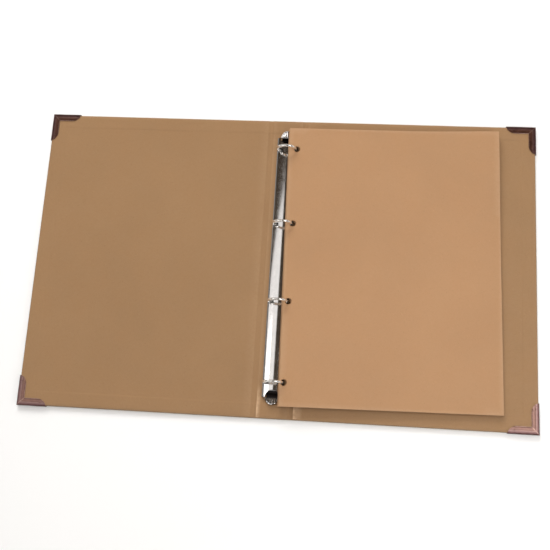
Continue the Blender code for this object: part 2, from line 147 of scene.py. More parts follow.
def add_piece(name, verts, faces, material, smooth_deg=35.0, values=None):
    """A mesh object. values maps an attribute name to one number for each vertex."""
    mesh = bpy.data.meshes.new(name)
    mesh.from_pydata([tuple(v) for v in verts], [], [tuple(int(i) for i in f) for f in faces])
    mesh.validate()
    mesh.shade_smooth()
    mesh.set_sharp_from_angle(angle=math.radians(smooth_deg))
    co = np.array([v.co for v in mesh.vertices], np.float32)
    rest = mesh.attributes.new("rest", "FLOAT_VECTOR", "POINT")
    rest.data.foreach_set("vector", co.ravel())
    for key, numbers in (values or {}).items():
        layer = mesh.attributes.new(key, "FLOAT", "POINT")
        layer.data.foreach_set("value", np.asarray(numbers, np.float32))
    mesh.materials.append(material)
    made = bpy.data.objects.new(name, mesh)
    bpy.context.scene.collection.objects.link(made)
    return made


def dress(piece, nodes, body=None):
    """Hides the CAD nodes the piece stands for and puts the piece on the body it rides on."""
    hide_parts(*nodes)
    if body is not None:
        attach(piece, body)
    return piece


def soften_edges(piece, width, segments=2):
    bevel = piece.modifiers.new("soft_edges", "BEVEL")
    bevel.width = width
    bevel.segments = segments
    bevel.limit_method = "ANGLE"
    bevel.angle_limit = math.radians(50)
    bevel.harden_normals = True


def smoothstep(low, high, value):
    share = np.clip((value - low) / (high - low), 0.0, 1.0)
    return share * share * (3 - 2 * share)


def grid_faces(rows, columns, offset=0, flip=False):
    faces = []
    for r in range(rows - 1):
        for c in range(columns - 1):
            a = offset + r * columns + c
            quad = (a, a + 1, a + columns + 1, a + columns)
            faces.append(quad[::-1] if flip else quad)
    return faces


def rim_loop(rows, columns):
    """Indices round the outside of a grid, in order."""
    loop = list(range(columns))
    loop += [r * columns + columns - 1 for r in range(1, rows)]
    loop += [(rows - 1) * columns + c for c in range(columns - 2, -1, -1)]
    loop += [r * columns for r in range(rows - 2, 0, -1)]
    return loop


def rim_walls(loop, count, flip):
    """Quads that join the rim of a sheet to the rim of its second layer, count vertices further on."""
    walls = []
    for a, b in zip(loop, loop[1:] + loop[:1]):
        quad = (b, a, a + count, b + count)
        walls.append(quad[::-1] if flip else quad)
    return walls


def inside_loop(points, loop):
    """Which of the points lie inside the closed loop."""
    inside = np.zeros(len(points), bool)
    x, y = points[:, 0], points[:, 1]
    for (ax, ay), (bx, by) in zip(loop, np.roll(loop, -1, axis=0)):
        crosses = (ay > y) != (by > y)
        if ay != by:
            inside ^= crosses & (x < (bx - ax) * (y - ay) / (by - ay) + ax)
    return inside


def distance_to_loop(points, loop):
    """How far each point is from the closed loop."""
    nearest = np.full(len(points), 1e9)
    for a, b in zip(loop, np.roll(loop, -1, axis=0)):
        span = b - a
        share = np.clip(((points - a) @ span) / max(span @ span, 1e-18), 0, 1)
        nearest = np.minimum(nearest, np.linalg.norm(points - a - share[:, None] * span, axis=1))
    return nearest


def resample(loop, step):
    """The closed loop with extra points on its long edges."""
    out = []
    for a, b in zip(loop, np.roll(loop, -1, axis=0)):
        count = max(1, int(round(np.linalg.norm(b - a) / step)))
        out += [a + (b - a) * k / count for k in range(count)]
    return np.array(out)


def circle_loop(x, y, radius, sides):
    turn = np.linspace(0, 2 * math.pi, sides, endpoint=False)
    return np.stack([x + radius * np.cos(turn), y + radius * np.sin(turn)], axis=1)


def rounded_box_loop(x0, y0, x1, y1, radius, steps=5):
    points = []
    for cx, cy, start in ((x1 - radius, y1 - radius, 0), (x0 + radius, y1 - radius, 90),
                          (x0 + radius, y0 + radius, 180), (x1 - radius, y0 + radius, 270)):
        for k in range(steps + 1):
            turn = math.radians(start + 90 * k / steps)
            points.append((cx + radius * math.cos(turn), cy + radius * math.sin(turn)))
    return np.array(points)


def plan_triangles(outline, holes, step_x, step_y):
    """Triangles that fill the outline and leave the holes, with a point about every step inside."""
    loops = [outline] + holes
    low, high = outline.min(0), outline.max(0)
    gx = np.linspace(low[0], high[0], max(2, int(round((high[0] - low[0]) / step_x)) + 1))
    gy = np.linspace(low[1], high[1], max(2, int(round((high[1] - low[1]) / step_y)) + 1))
    points = np.stack(np.meshgrid(gx, gy), axis=-1).reshape(-1, 2)
    keep = inside_loop(points, outline) & (distance_to_loop(points, outline) > 0.4 * min(step_x, step_y))
    for hole in holes:
        keep &= ~inside_loop(points, hole) & (distance_to_loop(points, hole) > 0.25 * min(step_x, step_y))
    coords, edges = [], []
    for loop in loops:
        start = len(coords)
        coords += [Vector(p) for p in loop]
        edges += [(start + k, start + (k + 1) % len(loop)) for k in range(len(loop))]
    coords += [Vector(p) for p in points[keep]]
    found = delaunay_2d_cdt(coords, edges, [], 0, 1e-9)
    flat = np.array([tuple(v) for v in found[0]])
    triangles = np.array([tuple(f) for f in found[2]])
    middle = flat[triangles].mean(axis=1)
    wanted = inside_loop(middle, outline)
    for hole in holes:
        wanted &= ~inside_loop(middle, hole)
    triangles = triangles[wanted]
    a, b, c = flat[triangles[:, 0]], flat[triangles[:, 1]], flat[triangles[:, 2]]
    area = (b[:, 0] - a[:, 0]) * (c[:, 1] - a[:, 1]) - (b[:, 1] - a[:, 1]) * (c[:, 0] - a[:, 0])
    triangles = triangles[np.abs(area) > 1e-14]
    area = area[np.abs(area) > 1e-14]
    triangles[area < 0] = triangles[area < 0][:, ::-1]
    return flat, triangles


def shell(flat, triangles, upper, lower):
    """Closes a plan mesh into a solid between its upper and its lower points."""
    count = len(flat)
    verts = np.concatenate([upper, lower])
    edges = dict.fromkeys((int(a), int(b)) for tri in triangles
                          for a, b in ((tri[0], tri[1]), (tri[1], tri[2]), (tri[2], tri[0])))
    sides = [(b, a, a + count, b + count) for a, b in edges if (b, a) not in edges]
    faces = [tuple(t) for t in triangles] + [tuple(t[::-1] + count) for t in triangles] + sides
    return verts, faces


# ---------------------------------------------------------------- materials

def new_material(name):
    made = bpy.data.materials.new(name)
    made.use_nodes = True
    return made, made.node_tree, made.node_tree.nodes["Principled BSDF"]


def node(tree, kind, inputs=None, **settings):
    made = tree.nodes.new(kind)
    for key, value in settings.items():
        setattr(made, key, value)
    for key, value in (inputs or {}).items():
        if isinstance(value, bpy.types.NodeSocket):
            tree.links.new(value, made.inputs[key])
        else:
            made.inputs[key].default_value = value
    return made


def rest_coords(tree):
    return node(tree, "ShaderNodeAttribute", attribute_name="rest").outputs["Vector"]


def object_coords(tree):
    return node(tree, "ShaderNodeTexCoord").outputs["Object"]


def stretched(tree, coords, scale, turn_deg=0.0):
    """Turns the coordinates first and then scales them, so streaks can lie in any direction."""
    inputs = {"Vector": coords, "Scale": tuple(1 / share for share in scale),
              "Rotation": (0, 0, math.radians(turn_deg))}
    mapping = node(tree, "ShaderNodeMapping", inputs, vector_type="TEXTURE")
    return mapping.outputs["Vector"]


def noise(tree, coords, scale, detail=3.0, roughness=0.55):
    made = node(tree, "ShaderNodeTexNoise", {"Vector": coords, "Scale": scale, "Detail": detail,
                                             "Roughness": roughness})
    return made.outputs["Fac"]


def remap(tree, value, low, high, to_low=0.0, to_high=1.0):
    made = node(tree, "ShaderNodeMapRange", {"Value": value, "From Min": low, "From Max": high,
                                             "To Min": to_low, "To Max": to_high})
    return made.outputs["Result"]


def mix(tree, factor, first, second, blend="MIX"):
    made = node(tree, "ShaderNodeMix", data_type="RGBA", blend_type=blend)
    for index, value in ((0, factor), (6, first), (7, second)):
        if isinstance(value, bpy.types.NodeSocket):
            tree.links.new(value, made.inputs[index])
        elif index == 0:
            made.inputs[index].default_value = value
        else:
            made.inputs[index].default_value = (*value, 1.0)
    return made.outputs[2]


def maths(tree, operation, first, second):
    made = node(tree, "ShaderNodeMath", operation=operation)
    for index, value in enumerate((first, second)):
        if isinstance(value, bpy.types.NodeSocket):
            tree.links.new(value, made.inputs[index])
        else:
            made.inputs[index].default_value = value
    return made.outputs[0]


def bump(tree, height, distance, strength=1.0, normal=None):
    inputs = {"Height": height, "Distance": distance, "Strength": strength}
    if normal is not None:
        inputs["Normal"] = normal
    return node(tree, "ShaderNodeBump", inputs).outputs["Normal"]


def shade(colour, amount):
    return tuple(min(1.0, channel * amount) for channel in colour)


def kraft(name, colour, fibre=1.0, mark_attribute=None, mark_colour=None, coords=rest_coords):
    """Uncoated kraft paper: soft mottling, crossing fibres, dark and pale specks, and a felt-like bump."""
    made, tree, shader = new_material(name)
    place = coords(tree)
    cloud = remap(tree, noise(tree, place, 9.0, 4.0, 0.6), 0.32, 0.68)
    tone = mix(tree, cloud, shade(colour, 0.955), shade(colour, 1.045))
    patch = remap(tree, noise(tree, place, 48.0, 3.0, 0.6), 0.35, 0.65)
    tone = mix(tree, maths(tree, "MULTIPLY", patch, 0.35), tone,
               (colour[0] * 1.03, colour[1] * 0.985, colour[2] * 0.94))
    threads = None
    for turn, seed_scale in ((12.0, 2300.0), (-58.0, 1900.0), (74.0, 2600.0)):
        lines = noise(tree, stretched(tree, place, (1.0, 0.13, 1.0), turn), seed_scale, 2.0, 0.5)
        lines = remap(tree, lines, 0.60, 0.72)
        threads = lines if threads is None else maths(tree, "MAXIMUM", threads, lines)
    tone = mix(tree, maths(tree, "MULTIPLY", threads, 0.16 * fibre), tone, shade(colour, 0.55))
    pale = noise(tree, stretched(tree, place, (1.0, 0.18, 1.0), 33.0), 1500.0, 2.0, 0.5)
    pale = remap(tree, pale, 0.63, 0.74)
    tone = mix(tree, maths(tree, "MULTIPLY", pale, 0.20 * fibre), tone, shade(colour, 1.5))
    speck = node(tree, "ShaderNodeTexVoronoi", {"Vector": place, "Scale": 230.0}).outputs["Distance"]
    speck = remap(tree, speck, 0.10, 0.055)
    tone = mix(tree, maths(tree, "MULTIPLY", speck, 0.30 * fibre), tone, shade(colour, 0.42))
    # Attribute marks: wear on the wrap and the leaves; on the lining, a painted highlight along the grooves
    # and a worn trimmed edge.
    if mark_attribute is not None:
        wear_and_highlight = node(tree, "ShaderNodeAttribute", attribute_name=mark_attribute).outputs["Fac"]
        ragged = remap(tree, noise(tree, place, 300.0, 4.0, 0.7), 0.30, 0.62, 0.35, 1.0)
        tone = mix(tree, maths(tree, "MULTIPLY", wear_and_highlight, ragged), tone, mark_colour)
    tree.links.new(tone, shader.inputs["Base Color"])
    grain = noise(tree, place, 1500.0, 4.0, 0.7)
    felt = noise(tree, place, 330.0, 3.0, 0.6)
    rough = remap(tree, felt, 0.3, 0.7, 0.72, 0.9)
    tree.links.new(rough, shader.inputs["Roughness"])
    shader.inputs["Specular IOR Level"].default_value = 0.25
    shader.inputs["Sheen Weight"].default_value = 0.05
    height = maths(tree, "ADD", maths(tree, "MULTIPLY", grain, 0.4), maths(tree, "MULTIPLY", threads, 0.35))
    height = maths(tree, "ADD", height, maths(tree, "MULTIPLY", felt, 0.5))
    tree.links.new(bump(tree, height, 0.09 * MM, 0.55), shader.inputs["Normal"])
    return made


def greyboard():
    made, tree, shader = new_material("greyboard")
    place = object_coords(tree)
    flecks = remap(tree, noise(tree, place, 420.0, 5.0, 0.75), 0.35, 0.65)
    tone = mix(tree, flecks, (0.22, 0.195, 0.165), (0.36, 0.325, 0.28))
    layers = noise(tree, stretched(tree, place, (0.15, 0.15, 14.0)), 300.0, 2.0, 0.5)
    tone = mix(tree, maths(tree, "MULTIPLY", layers, 0.3), tone, (0.17, 0.15, 0.13))
    tree.links.new(tone, shader.inputs["Base Color"])
    shader.inputs["Roughness"].default_value = 0.92
    tree.links.new(bump(tree, noise(tree, place, 700.0, 4.0, 0.7), 0.12 * MM, 0.6), shader.inputs["Normal"])
    return made


def bronze():
    """Antique bronze plating: purple-brown on the outer half, warmer inside, rubbed bright on its ridges,
    with a painted highlight round each dimple.
    """
    made, tree, shader = new_material("corner_bronze")
    place = rest_coords(tree)
    across = node(tree, "ShaderNodeAttribute", attribute_name="across").outputs["Fac"]
    rub_and_highlight = node(tree, "ShaderNodeAttribute", attribute_name="rub_and_highlight").outputs["Fac"]
    patina = remap(tree, noise(tree, place, 260.0, 4.0, 0.65), 0.32, 0.68)
    outer = mix(tree, patina, (0.088, 0.036, 0.034), (0.145, 0.066, 0.060))
    inner = mix(tree, patina, (0.090, 0.034, 0.022), (0.150, 0.062, 0.040))
    tone = mix(tree, across, outer, inner)
    # Rubbed bright on the ridges, paler along the mitre and at the arm ends, plus a painted highlight round
    # each dimple's rim.
    scuff = remap(tree, noise(tree, place, 900.0, 3.0, 0.7), 0.40, 0.60, 0.45, 1.0)
    bright = maths(tree, "MULTIPLY", rub_and_highlight, scuff)
    tone = mix(tree, bright, tone, (0.56, 0.38, 0.31))
    tree.links.new(tone, shader.inputs["Base Color"])
    shader.inputs["Metallic"].default_value = 0.75
    rough = remap(tree, patina, 0.0, 1.0, 0.34, 0.50)
    tree.links.new(rough, shader.inputs["Roughness"])
    shader.inputs["Coat Weight"].default_value = 0.5
    shader.inputs["Coat Roughness"].default_value = 0.25
    fine = noise(tree, place, 1800.0, 3.0, 0.6)
    tree.links.new(bump(tree, fine, 0.03 * MM, 0.4), shader.inputs["Normal"])
    return made


def plated(name, colour, low_rough, high_rough, coords, streak=0.12, metal=1.0, painted_shade=None):
    """Bright plate: hairline polishing streaks and faint clouding."""
    made, tree, shader = new_material(name)
    place = coords(tree)
    haze = remap(tree, noise(tree, place, 120.0, 4.0, 0.6), 0.35, 0.65)
    tone = mix(tree, haze, shade(colour, 0.93), colour)
    hair = noise(tree, stretched(tree, place, (1.0, 0.02, 1.0)), 2600.0, 2.0, 0.5)
    tone = mix(tree, maths(tree, "MULTIPLY", remap(tree, hair, 0.45, 0.65), streak), tone, shade(colour, 0.7))
    # Painted shade: darkens the plate towards near black where the attribute is high.
    if painted_shade is not None:
        depth = node(tree, "ShaderNodeAttribute", attribute_name=painted_shade).outputs["Fac"]
        tone = mix(tree, depth, tone, (0.014, 0.011, 0.010))
    tree.links.new(tone, shader.inputs["Base Color"])
    shader.inputs["Metallic"].default_value = metal
    blend = maths(tree, "MULTIPLY", haze, remap(tree, hair, 0.35, 0.65, 0.6, 1.0))
    tree.links.new(remap(tree, blend, 0.0, 1.0, low_rough, high_rough), shader.inputs["Roughness"])
    wave = noise(tree, place, 45.0, 2.0, 0.5)
    height = maths(tree, "ADD", maths(tree, "MULTIPLY", hair, 0.02), wave)
    tree.links.new(bump(tree, height, 0.04 * MM, 0.4), shader.inputs["Normal"])
    return made


LINING_COLOUR = (0.318, 0.187, 0.093)
WRAP_COLOUR = (0.295, 0.176, 0.090)
LEAF_COLOUR = (0.422, 0.240, 0.124)
# Pale colour of the painted highlight along the lining's hinge grooves.
CREASE_HIGHLIGHT_COLOUR = (0.68, 0.46, 0.29)
EDGE_COLOUR = (0.27, 0.20, 0.125)

lining_paper = kraft("kraft_lining", LINING_COLOUR, 1.0, "wear_and_highlight", CREASE_HIGHLIGHT_COLOUR)
wrap_paper = kraft("kraft_wrap", WRAP_COLOUR, 1.1, "wear_and_highlight", EDGE_COLOUR)
leaf_paper = kraft("kraft_leaf", LEAF_COLOUR, 0.8, "wear_and_highlight", (0.52, 0.34, 0.21))
board_material = greyboard()
bronze_material = bronze()
chrome_material = plated("ring_chrome", (0.86, 0.845, 0.83), 0.11, 0.16, rest_coords, 0.06)
wire_material = plated("ring_wire_chrome", (0.93, 0.91, 0.87), 0.11, 0.20, rest_coords, 0.06, 0.82)
lever_material = plated("lever_chrome", (0.76, 0.74, 0.72), 0.12, 0.22, rest_coords, 0.08, 1.0, "painted_shade")
steel_material = plated("blade_steel", (0.52, 0.52, 0.52), 0.25, 0.42, object_coords, 0.3)
# Near-black finish of the plate that paints the shade under the housing.
shade_plate_material = plated("painted_shade_black", (0.035, 0.03, 0.028), 0.35, 0.55, rest_coords, 0.3)
nickel_material = plated("rivet_nickel", (0.62, 0.58, 0.52), 0.18, 0.32, rest_coords, 0.2)


# ---------------------------------------------------------------- covers

def groove(x):
    """1 in the middle of the hinge groove, 0 beside it."""
    away = np.abs(np.abs(x) - HINGE_X)
    return 1 - smoothstep(0.1 * GROOVE_HALF, GROOVE_HALF, away)


def lip_level(x):
    """Top of the boards and of the folded wrap."""
    return TOP_Z - LINING_PAPER - 0.03 * MM - GROOVE_DEPTH * groove(x)


def under_level(x):
    return BOTTOM_Z + OUTER_GROOVE_DEPTH * groove(x)


def x_stations():
    near = HINGE_X - GROOVE_HALF
    far = HINGE_X + GROOVE_HALF
    stations = list(np.linspace(0, near, 5)[:-1]) + list(np.linspace(near, far, 36))
    stations += list(np.linspace(far, EDGE_X - TURN_IN - 1.5 * MM, 26)[1:])
    return stations


def lining_half(side):
    """Inside paper of one cover and half of the spine, laid over the folded wrap's edge."""
    end_x = EDGE_X - LINING_MARGIN
    end_y = EDGE_Y - LINING_MARGIN
    step = TURN_IN
    xs = x_stations() + list(np.linspace(EDGE_X - step - 1.2 * MM, EDGE_X - step + 0.6 * MM, 5))
    xs += list(np.linspace(EDGE_X - step + 3 * MM, end_x - 0.3 * MM, 4)) + [end_x]
    ys = [0.0, 0.3 * MM] + list(np.linspace(3 * MM, step - LINING_MARGIN - 2 * MM, 3))
    ys += list(np.linspace(step - LINING_MARGIN - 0.6 * MM, step - LINING_MARGIN + 1.2 * MM, 5))
    lower_half = [-end_y + y for y in ys]
    middle = list(np.linspace(lower_half[-1], -lower_half[-1], 34)[1:-1])
    ys = lower_half + middle + [-y for y in lower_half[::-1]]
    px, py = np.meshgrid(np.array(xs), np.array(ys))
    from_edge = np.minimum(EDGE_X - px, EDGE_Y - np.abs(py))
    fold = 1 - smoothstep(step - 0.6 * MM, step + 1.0 * MM, from_edge)
    trim = 1 - smoothstep(0, 0.35 * MM, np.minimum(end_x - px, end_y - np.abs(py)))
    ripple = 0.05 * MM * np.sin(px * 41 + 2) * np.sin(py * 23 + 1)
    base = lip_level(px) - TURN_IN_STEP * (1 - fold) + ripple * (1 - groove(px)) * (1 - fold)
    top = base + LINING_PAPER - 0.12 * MM * trim
    sheets = [np.stack([side * px, py, z], axis=-1).reshape(-1, 3) for z in (top, base)]
    rows, columns = px.shape
    count = rows * columns
    faces = grid_faces(rows, columns, 0, side < 0) + grid_faces(rows, columns, count, side > 0)
    faces += rim_walls(rim_loop(rows, columns), count, side < 0)
    # Painted highlight: a pale line along the groove wall that faces the light, stronger towards the bottom,
    # with a fainter pale line on the other wall; the pale trimmed edge is wear.
    crease_at = HINGE_X + side * 0.95 * GROOVE_HALF
    line = np.exp(-((px - crease_at) / (0.33 * MM)) ** 2)
    fade = 0.12 + 0.88 * smoothstep(-0.122, -0.140, py)
    faint = 0.10 * np.exp(-((px - HINGE_X + side * 0.95 * GROOVE_HALF) / (0.6 * MM)) ** 2)
    wear_and_highlight = np.clip(0.95 * line * fade + faint, 0, 1)
    trimmed = 0.35 * trim
    values = np.concatenate([np.maximum(wear_and_highlight, trimmed).ravel(), np.zeros(count)])
    name = "lining_" + ("back" if side > 0 else "front")
    return add_piece(name, np.concatenate(sheets), faces, lining_paper, 40, {"wear_and_highlight": values})


def fold_profile():
    """The edge folded over the board, from the top inwards: (distance in from the edge, share of height)."""
    points = [(TURN_IN, 1.0), (6 * MM, 1.0), (2.2 * MM, 1.0)]
    for k in range(9):
        turn = math.pi * k / 8
        share = 0.5 + 0.5 * math.copysign(abs(math.cos(turn)) ** 0.7, math.cos(turn))
        points.append((EDGE_ROUND * (1 - math.sin(turn) ** 0.8), share))
    points += [(2.2 * MM, 0.0)]
    return points


def wrap_half(side):
    """Outer paper of one cover and half of the spine: a flat panel and an edge folded over the board."""
    path = []
    stations = np.array(x_stations() + [EDGE_X - 8 * MM])
    for x in stations:
        path.append((x, -EDGE_Y, 0.0, 1.0))
    path.append((EDGE_X, -EDGE_Y, -1.0, 1.0))
    for y in np.linspace(-EDGE_Y + 8 * MM, EDGE_Y - 8 * MM, 30):
        path.append((EDGE_X, y, -1.0, 0.0))
    path.append((EDGE_X, EDGE_Y, -1.0, -1.0))
    for x in stations[::-1]:
        path.append((x, EDGE_Y, 0.0, -1.0))
    profile = fold_profile()
    rows, columns = len(path), len(profile)
    outer, inner = np.zeros((rows, columns, 3)), np.zeros((rows, columns, 3))
    wear_and_highlight = np.zeros((rows, columns))
    for r, (x, y, dx, dy) in enumerate(path):
        for c, (into, share) in enumerate(profile):
            px, py = x + dx * into, y + dy * into
            low, high = float(under_level(px)), float(lip_level(px))
            outer[r, c] = (side * px, py, low + share * (high - low))
            if share > 0.99:
                shift = (0, 0, -PAPER)
            elif share < 0.01:
                shift = (0, 0, PAPER)
            else:
                shift = (side * dx * PAPER, dy * PAPER, (0.5 - share) * PAPER)
            inner[r, c] = outer[r, c] + np.array(shift)
            wear_and_highlight[r, c] = 0.75 * math.exp(-(into / (1.1 * MM)) ** 2) * (0.4 + 0.6 * share)
    count = rows * columns
    faces = grid_faces(rows, columns, 0, side > 0) + grid_faces(rows, columns, count, side < 0)
    faces += rim_walls(rim_loop(rows, columns), count, side > 0)
    verts = [*outer.reshape(-1, 3), *inner.reshape(-1, 3)]
    inset = 2.2 * MM
    xs = [x for x in stations if x < EDGE_X - inset] + [EDGE_X - inset]
    ys = list(np.linspace(-EDGE_Y + inset, EDGE_Y - inset, 34))
    px, py = np.meshgrid(np.array(xs), np.array(ys))
    under = under_level(px)
    start = len(verts)
    for z in (under + PAPER, under):
        verts += list(np.stack([side * px, py, z], axis=-1).reshape(-1, 3))
    prows, pcolumns = px.shape
    pcount = prows * pcolumns
    faces += grid_faces(prows, pcolumns, start, side < 0)
    faces += grid_faces(prows, pcolumns, start + pcount, side > 0)
    faces += rim_walls([start + i for i in rim_loop(prows, pcolumns)], pcount, side < 0)
    rub = 0.30 * np.exp(-((px - HINGE_X + 0.9 * GROOVE_HALF) / (0.8 * MM)) ** 2)
    rub += 0.30 * np.exp(-((px - HINGE_X - 0.9 * GROOVE_HALF) / (0.8 * MM)) ** 2)
    values = np.concatenate([wear_and_highlight.ravel(), wear_and_highlight.ravel(), rub.ravel(), rub.ravel()])
    name = "wrap_" + ("back" if side > 0 else "front")
    return add_piece(name, np.array(verts), faces, wrap_paper, 45, {"wear_and_highlight": values})


for side, cover in ((-1, "front_cover"), (1, "back_cover")):
    for piece, kind in ((lining_half(side), "lining"), (wrap_half(side), "wrap")):
        nodes = [f"{cover}_{kind}"] + ([f"spine_{kind}"] if side > 0 else [])
        dress(piece, nodes)
        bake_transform(piece)
for label in ("front_cover_board", "back_cover_board", "spine_board"):
    board = frame["nodes"][label]
    board.data.materials.clear()
    board.data.materials.append(board_material)


# ---------------------------------------------------------------- corner protectors

def corner_section():
    """The bent section, from the top inner edge down: (distance in from the outer face, height,
    across, ridge). across is 1 on the inner half, and ridge is how far the metal is rubbed bright."""
    top = CORNER_TOP
    points = [(ARM_WIDTH, top - 0.40 * MM, 1.0, 0.5),
              (ARM_WIDTH - 0.05 * MM, top - 0.12 * MM, 1.0, 0.7),
              (ARM_WIDTH - 0.30 * MM, top - 0.02 * MM, 1.0, 0.55),
              (ARM_WIDTH - 0.65 * MM, top - 0.10 * MM, 1.0, 0.15),
              (ARM_WIDTH - 1.05 * MM, top - 0.26 * MM, 1.0, 0.0), (5.0 * MM, top - 0.22 * MM, 1.0, 0.0),
              (4.2 * MM, top - 0.12 * MM, 0.9, 0.0), (3.7 * MM, top - 0.02 * MM, 0.6, 0.12),
              (3.3 * MM, top, 0.3, 0.16), (2.8 * MM, top - 0.05 * MM, 0.1, 0.03),
              (2.0 * MM, top - 0.13 * MM, 0.0, 0.0), (1.3 * MM, top - 0.25 * MM, 0.0, 0.0)]
    middle = top / 2
    for k in range(1, 10):
        turn = math.pi / 2 * (1 - 2 * k / 10)
        height = (middle - 0.3 * MM) * math.copysign(abs(math.sin(turn)) ** 0.75, math.sin(turn))
        rub_and_highlight = 0.10 if k in (2, 3) else 0.0
        points.append((1.2 * MM * (1 - math.cos(turn) ** 0.6), middle + height, 0.0, rub_and_highlight))
    points += [(1.3 * MM, 0.10 * MM, 0.0, 0.0), (2.6 * MM, 0.03 * MM, 0.0, 0.0), (4.0 * MM, 0.0, 0.5, 0.1),
               (5.8 * MM, 0.0, 1.0, 0.0), (ARM_WIDTH - 0.2 * MM, 0.02 * MM, 1.0, 0.5),
               (ARM_WIDTH, 0.15 * MM, 1.0, 0.7)]
    return points


def corner_piece(name, side_x, side_y):
    section = corner_section()
    outline = np.array([(into, z) for into, z, _, _ in section])
    along = np.gradient(outline, axis=0)
    normal = np.stack([along[:, 1], -along[:, 0]], axis=1)
    normal /= np.linalg.norm(normal, axis=1)[:, None]
    normal *= np.sign(normal @ np.array([1.0, 0.0]))[len(section) // 2] or 1
    inward = outline + normal * METAL * 0.8
    inward[:, 0] = np.minimum(inward[:, 0], ARM_WIDTH)
    stations = np.concatenate([np.linspace(0, 0.06, 4), np.linspace(0.09, 0.8, 34),
                               np.linspace(0.815, 1, 20)])
    columns = 2 * len(stations) - 1
    layers, across, rub_and_highlight = [], [], []
    for points in (outline, inward):
        sheet = np.zeros((len(section), columns, 3))
        for r, (into, z) in enumerate(points):
            share_out = np.clip(into / ARM_WIDTH, 0, 1)
            tip = ARM - ARM_END + ARM_END * math.sqrt(max(0.0, 1 - share_out ** 2))
            for c in range(columns):
                arm = c - (len(stations) - 1)
                station = stations[abs(arm)]
                along_arm = into + station * (tip - into)
                spot = (along_arm, into) if arm >= 0 else (into, along_arm)
                level = z
                is_top = z > CORNER_TOP / 2 and into > 1.25 * MM
                if is_top:
                    away = math.hypot(along_arm - (ARM - DIMPLE_FROM_TIP), into - DIMPLE_FROM_EDGE)
                    level -= DIMPLE_DEPTH * math.exp(-(away / (0.75 * DIMPLE_RADIUS)) ** 4)
                    level += MITRE_RISE * math.exp(-((along_arm - into) / (0.35 * MM)) ** 2)
                sheet[r, c] = (side_x * (CORNER_X - spot[0]), side_y * (CORNER_Y - spot[1]), level)
        layers.append(sheet)
    for r, (into, z, tint, bright) in enumerate(section):
        tip = ARM - ARM_END + ARM_END * math.sqrt(max(0.0, 1 - min(1.0, into / ARM_WIDTH) ** 2))
        for c in range(columns):
            station = stations[abs(c - (len(stations) - 1))]
            along_arm = into + station * (tip - into)
            across.append(tint)
            glow = bright
            # Paler line along the mitre and at the arm ends, and a painted highlight round each dimple's rim.
            if z > CORNER_TOP / 2 and into > 0.9 * MM:
                mitre = math.exp(-((along_arm - into) / (0.45 * MM)) ** 2)
                away = math.hypot(along_arm - (ARM - DIMPLE_FROM_TIP), into - DIMPLE_FROM_EDGE)
                rim = math.exp(-((away - 0.75 * DIMPLE_RADIUS) / (0.35 * MM)) ** 2)
                end = math.exp(-((tip - along_arm) / (0.40 * MM)) ** 2) if into > 1.6 * MM else 0.0
                glow = max(glow, 0.5 * mitre, 0.12 * rim, 0.3 * end)
            rub_and_highlight.append(glow)
    count = len(section) * columns
    flip = side_x * side_y > 0
    faces = grid_faces(len(section), columns, 0, flip) + grid_faces(len(section), columns, count, not flip)
    faces += rim_walls(rim_loop(len(section), columns), count, flip)
    verts = np.concatenate([layers[0].reshape(-1, 3), layers[1].reshape(-1, 3)])
    values = {"across": across * 2, "rub_and_highlight": rub_and_highlight * 2}
    return add_piece(name, verts, faces, bronze_material, 60, values)


for side_x, cover in ((-1, "front_cover"), (1, "back_cover")):
    for side_y, end in ((1, "top"), (-1, "bottom")):
        piece = corner_piece(f"corner_{cover}_{end}", side_x, side_y)
        dress(piece, [f"{cover}_corner_{end}"], cover)


# ---------------------------------------------------------------- ring mechanism

def arch(x, half_width, crown):
    return crown - ARCH_DROP * (x / half_width) ** 2


def shoulder():
    """Where the arch turns down into the side: (distance from the crown, slope there, arc length, radius)."""
    half = HOUSING_HIGH.x
    flat = half - HOUSING_SHOULDER
    start = math.atan2(2 * ARCH_DROP * flat / half ** 2, 1)
    bend = HOUSING_SHOULDER * (math.pi / 2 - start) / math.cos(start) * 0.75
    return flat, start, bend, HOUSING_SHOULDER / (1 - math.sin(start))


def housing_section(u):
    """Outer face of the housing at unrolled distance u from its crown: (x, z, outward x, outward z)."""
    half = HOUSING_HIGH.x
    crown = HOUSING_HIGH.z
    flat, start, bend, radius = shoulder()
    side = math.copysign(1.0, u) if u else 1.0
    reach = abs(u)
    if reach <= flat:
        slope = 2 * ARCH_DROP * reach / half ** 2
        size = math.hypot(slope, 1)
        return side * reach, arch(reach, half, crown), side * slope / size, 1 / size
    top = arch(flat, half, crown)
    if reach <= flat + bend:
        turn = start + (math.pi / 2 - start) * (reach - flat) / bend
        x = flat + radius * (math.sin(turn) - math.sin(start))
        z = top - radius * (math.cos(start) - math.cos(turn))
        return side * x, z, side * math.sin(turn), math.cos(turn)
    z = top - radius * math.cos(start) - (reach - flat - bend)
    return side * half, z, side, 0.0


